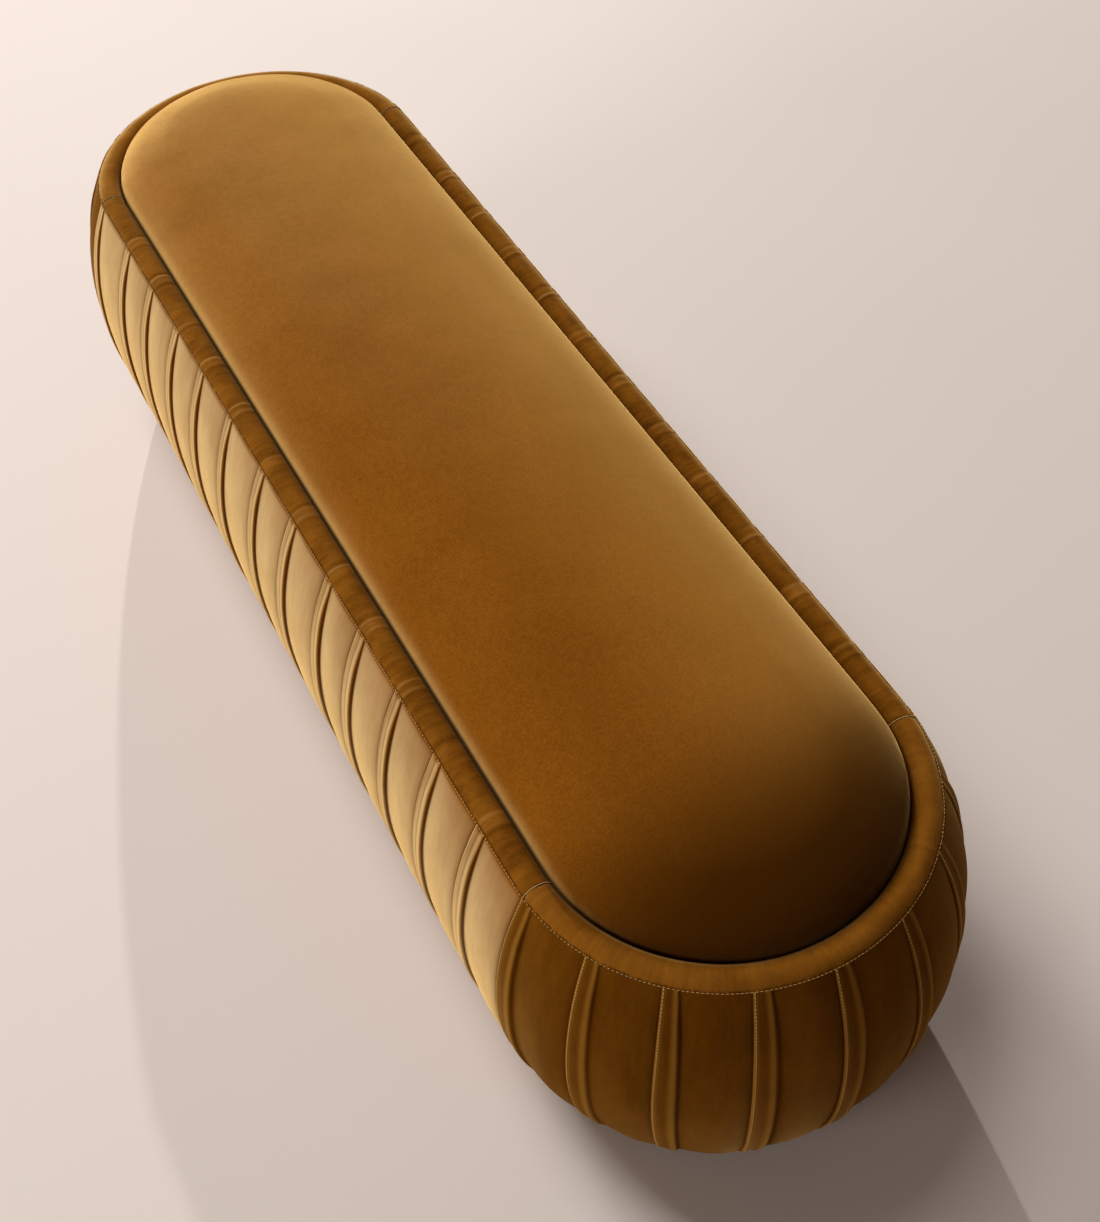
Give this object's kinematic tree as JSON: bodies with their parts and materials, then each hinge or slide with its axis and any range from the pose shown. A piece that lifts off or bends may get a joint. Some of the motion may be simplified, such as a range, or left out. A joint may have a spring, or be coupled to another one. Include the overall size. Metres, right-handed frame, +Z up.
{
  "type": "upholstered bench",
  "caption": "Long oval upholstered bench with a domed seat pad set in a padded cuff and bulging pleated velvet sides, standing on low hidden glides.",
  "frame": {"origin": "on the floor under the middle of the bench", "axes": "+X along the bench towards its right end, -Y towards the front, +Z up"},
  "size_m": [1.6356, 0.5024, 0.414],
  "materials": {
    "velvet": "short dense pile, golden brown, sheen at grazing angles",
    "thread": "twisted polyester, lighter gold",
    "foam": "open-cell upholstery foam",
    "wadding": "white polyester wadding",
    "nonwoven": "thin black spun-bonded cloth",
    "felt": "dense grey-brown felt",
    "plywood": "birch plywood, sawn edges",
    "bendy_ply": "thin bending plywood",
    "pine": "planed pine",
    "zinc": "bright zinc plated",
    "glide_plastic": "moulded dark plastic"
  },
  "bodies": {
    "root": {"base_board": "plywood", "corner_blocks": "pine", "cross_rails": "pine", "cuff_cover_back": "velvet", "cuff_cover_front": "velvet", "cuff_cover_left_end": "velvet", "cuff_cover_right_end": "velvet", "cuff_joint_threads": "thread", "cuff_roll_back": "foam", "cuff_roll_front": "foam", "cuff_roll_left_end": "foam", "cuff_roll_right_end": "foam", "dust_cover": "nonwoven", "dust_cover_staples": "zinc", "end_posts": "pine", "foot_glides": "glide_plastic", "frame_posts": "pine", "frame_screws": "zinc", "glide_felts": "felt", "glide_screws": "zinc", "pleat_stitches_back": "thread", "pleat_stitches_front": "thread", "pleat_stitches_left_end": "thread", "pleat_stitches_right_end": "thread", "pleats_back": "velvet", "pleats_front": "velvet", "pleats_left_end": "velvet", "pleats_right_end": "velvet", "seam_thread": "thread", "seat_board": "plywood", "seat_cover": "velvet", "seat_foam": "foam", "seat_screws": "zinc", "seat_wadding": "wadding", "side_board_back": "bendy_ply", "side_board_front": "bendy_ply", "side_board_left_end": "bendy_ply", "side_board_right_end": "bendy_ply", "side_cover_back": "velvet", "side_cover_front": "velvet", "side_cover_left_end": "velvet", "side_cover_right_end": "velvet", "side_foam_back": "foam", "side_foam_front": "foam", "side_foam_left_end": "foam", "side_foam_right_end": "foam", "side_wadding_back": "wadding", "side_wadding_front": "wadding", "side_wadding_left_end": "wadding", "side_wadding_right_end": "wadding", "top_ring": "plywood"}
  },
  "joints": []
}
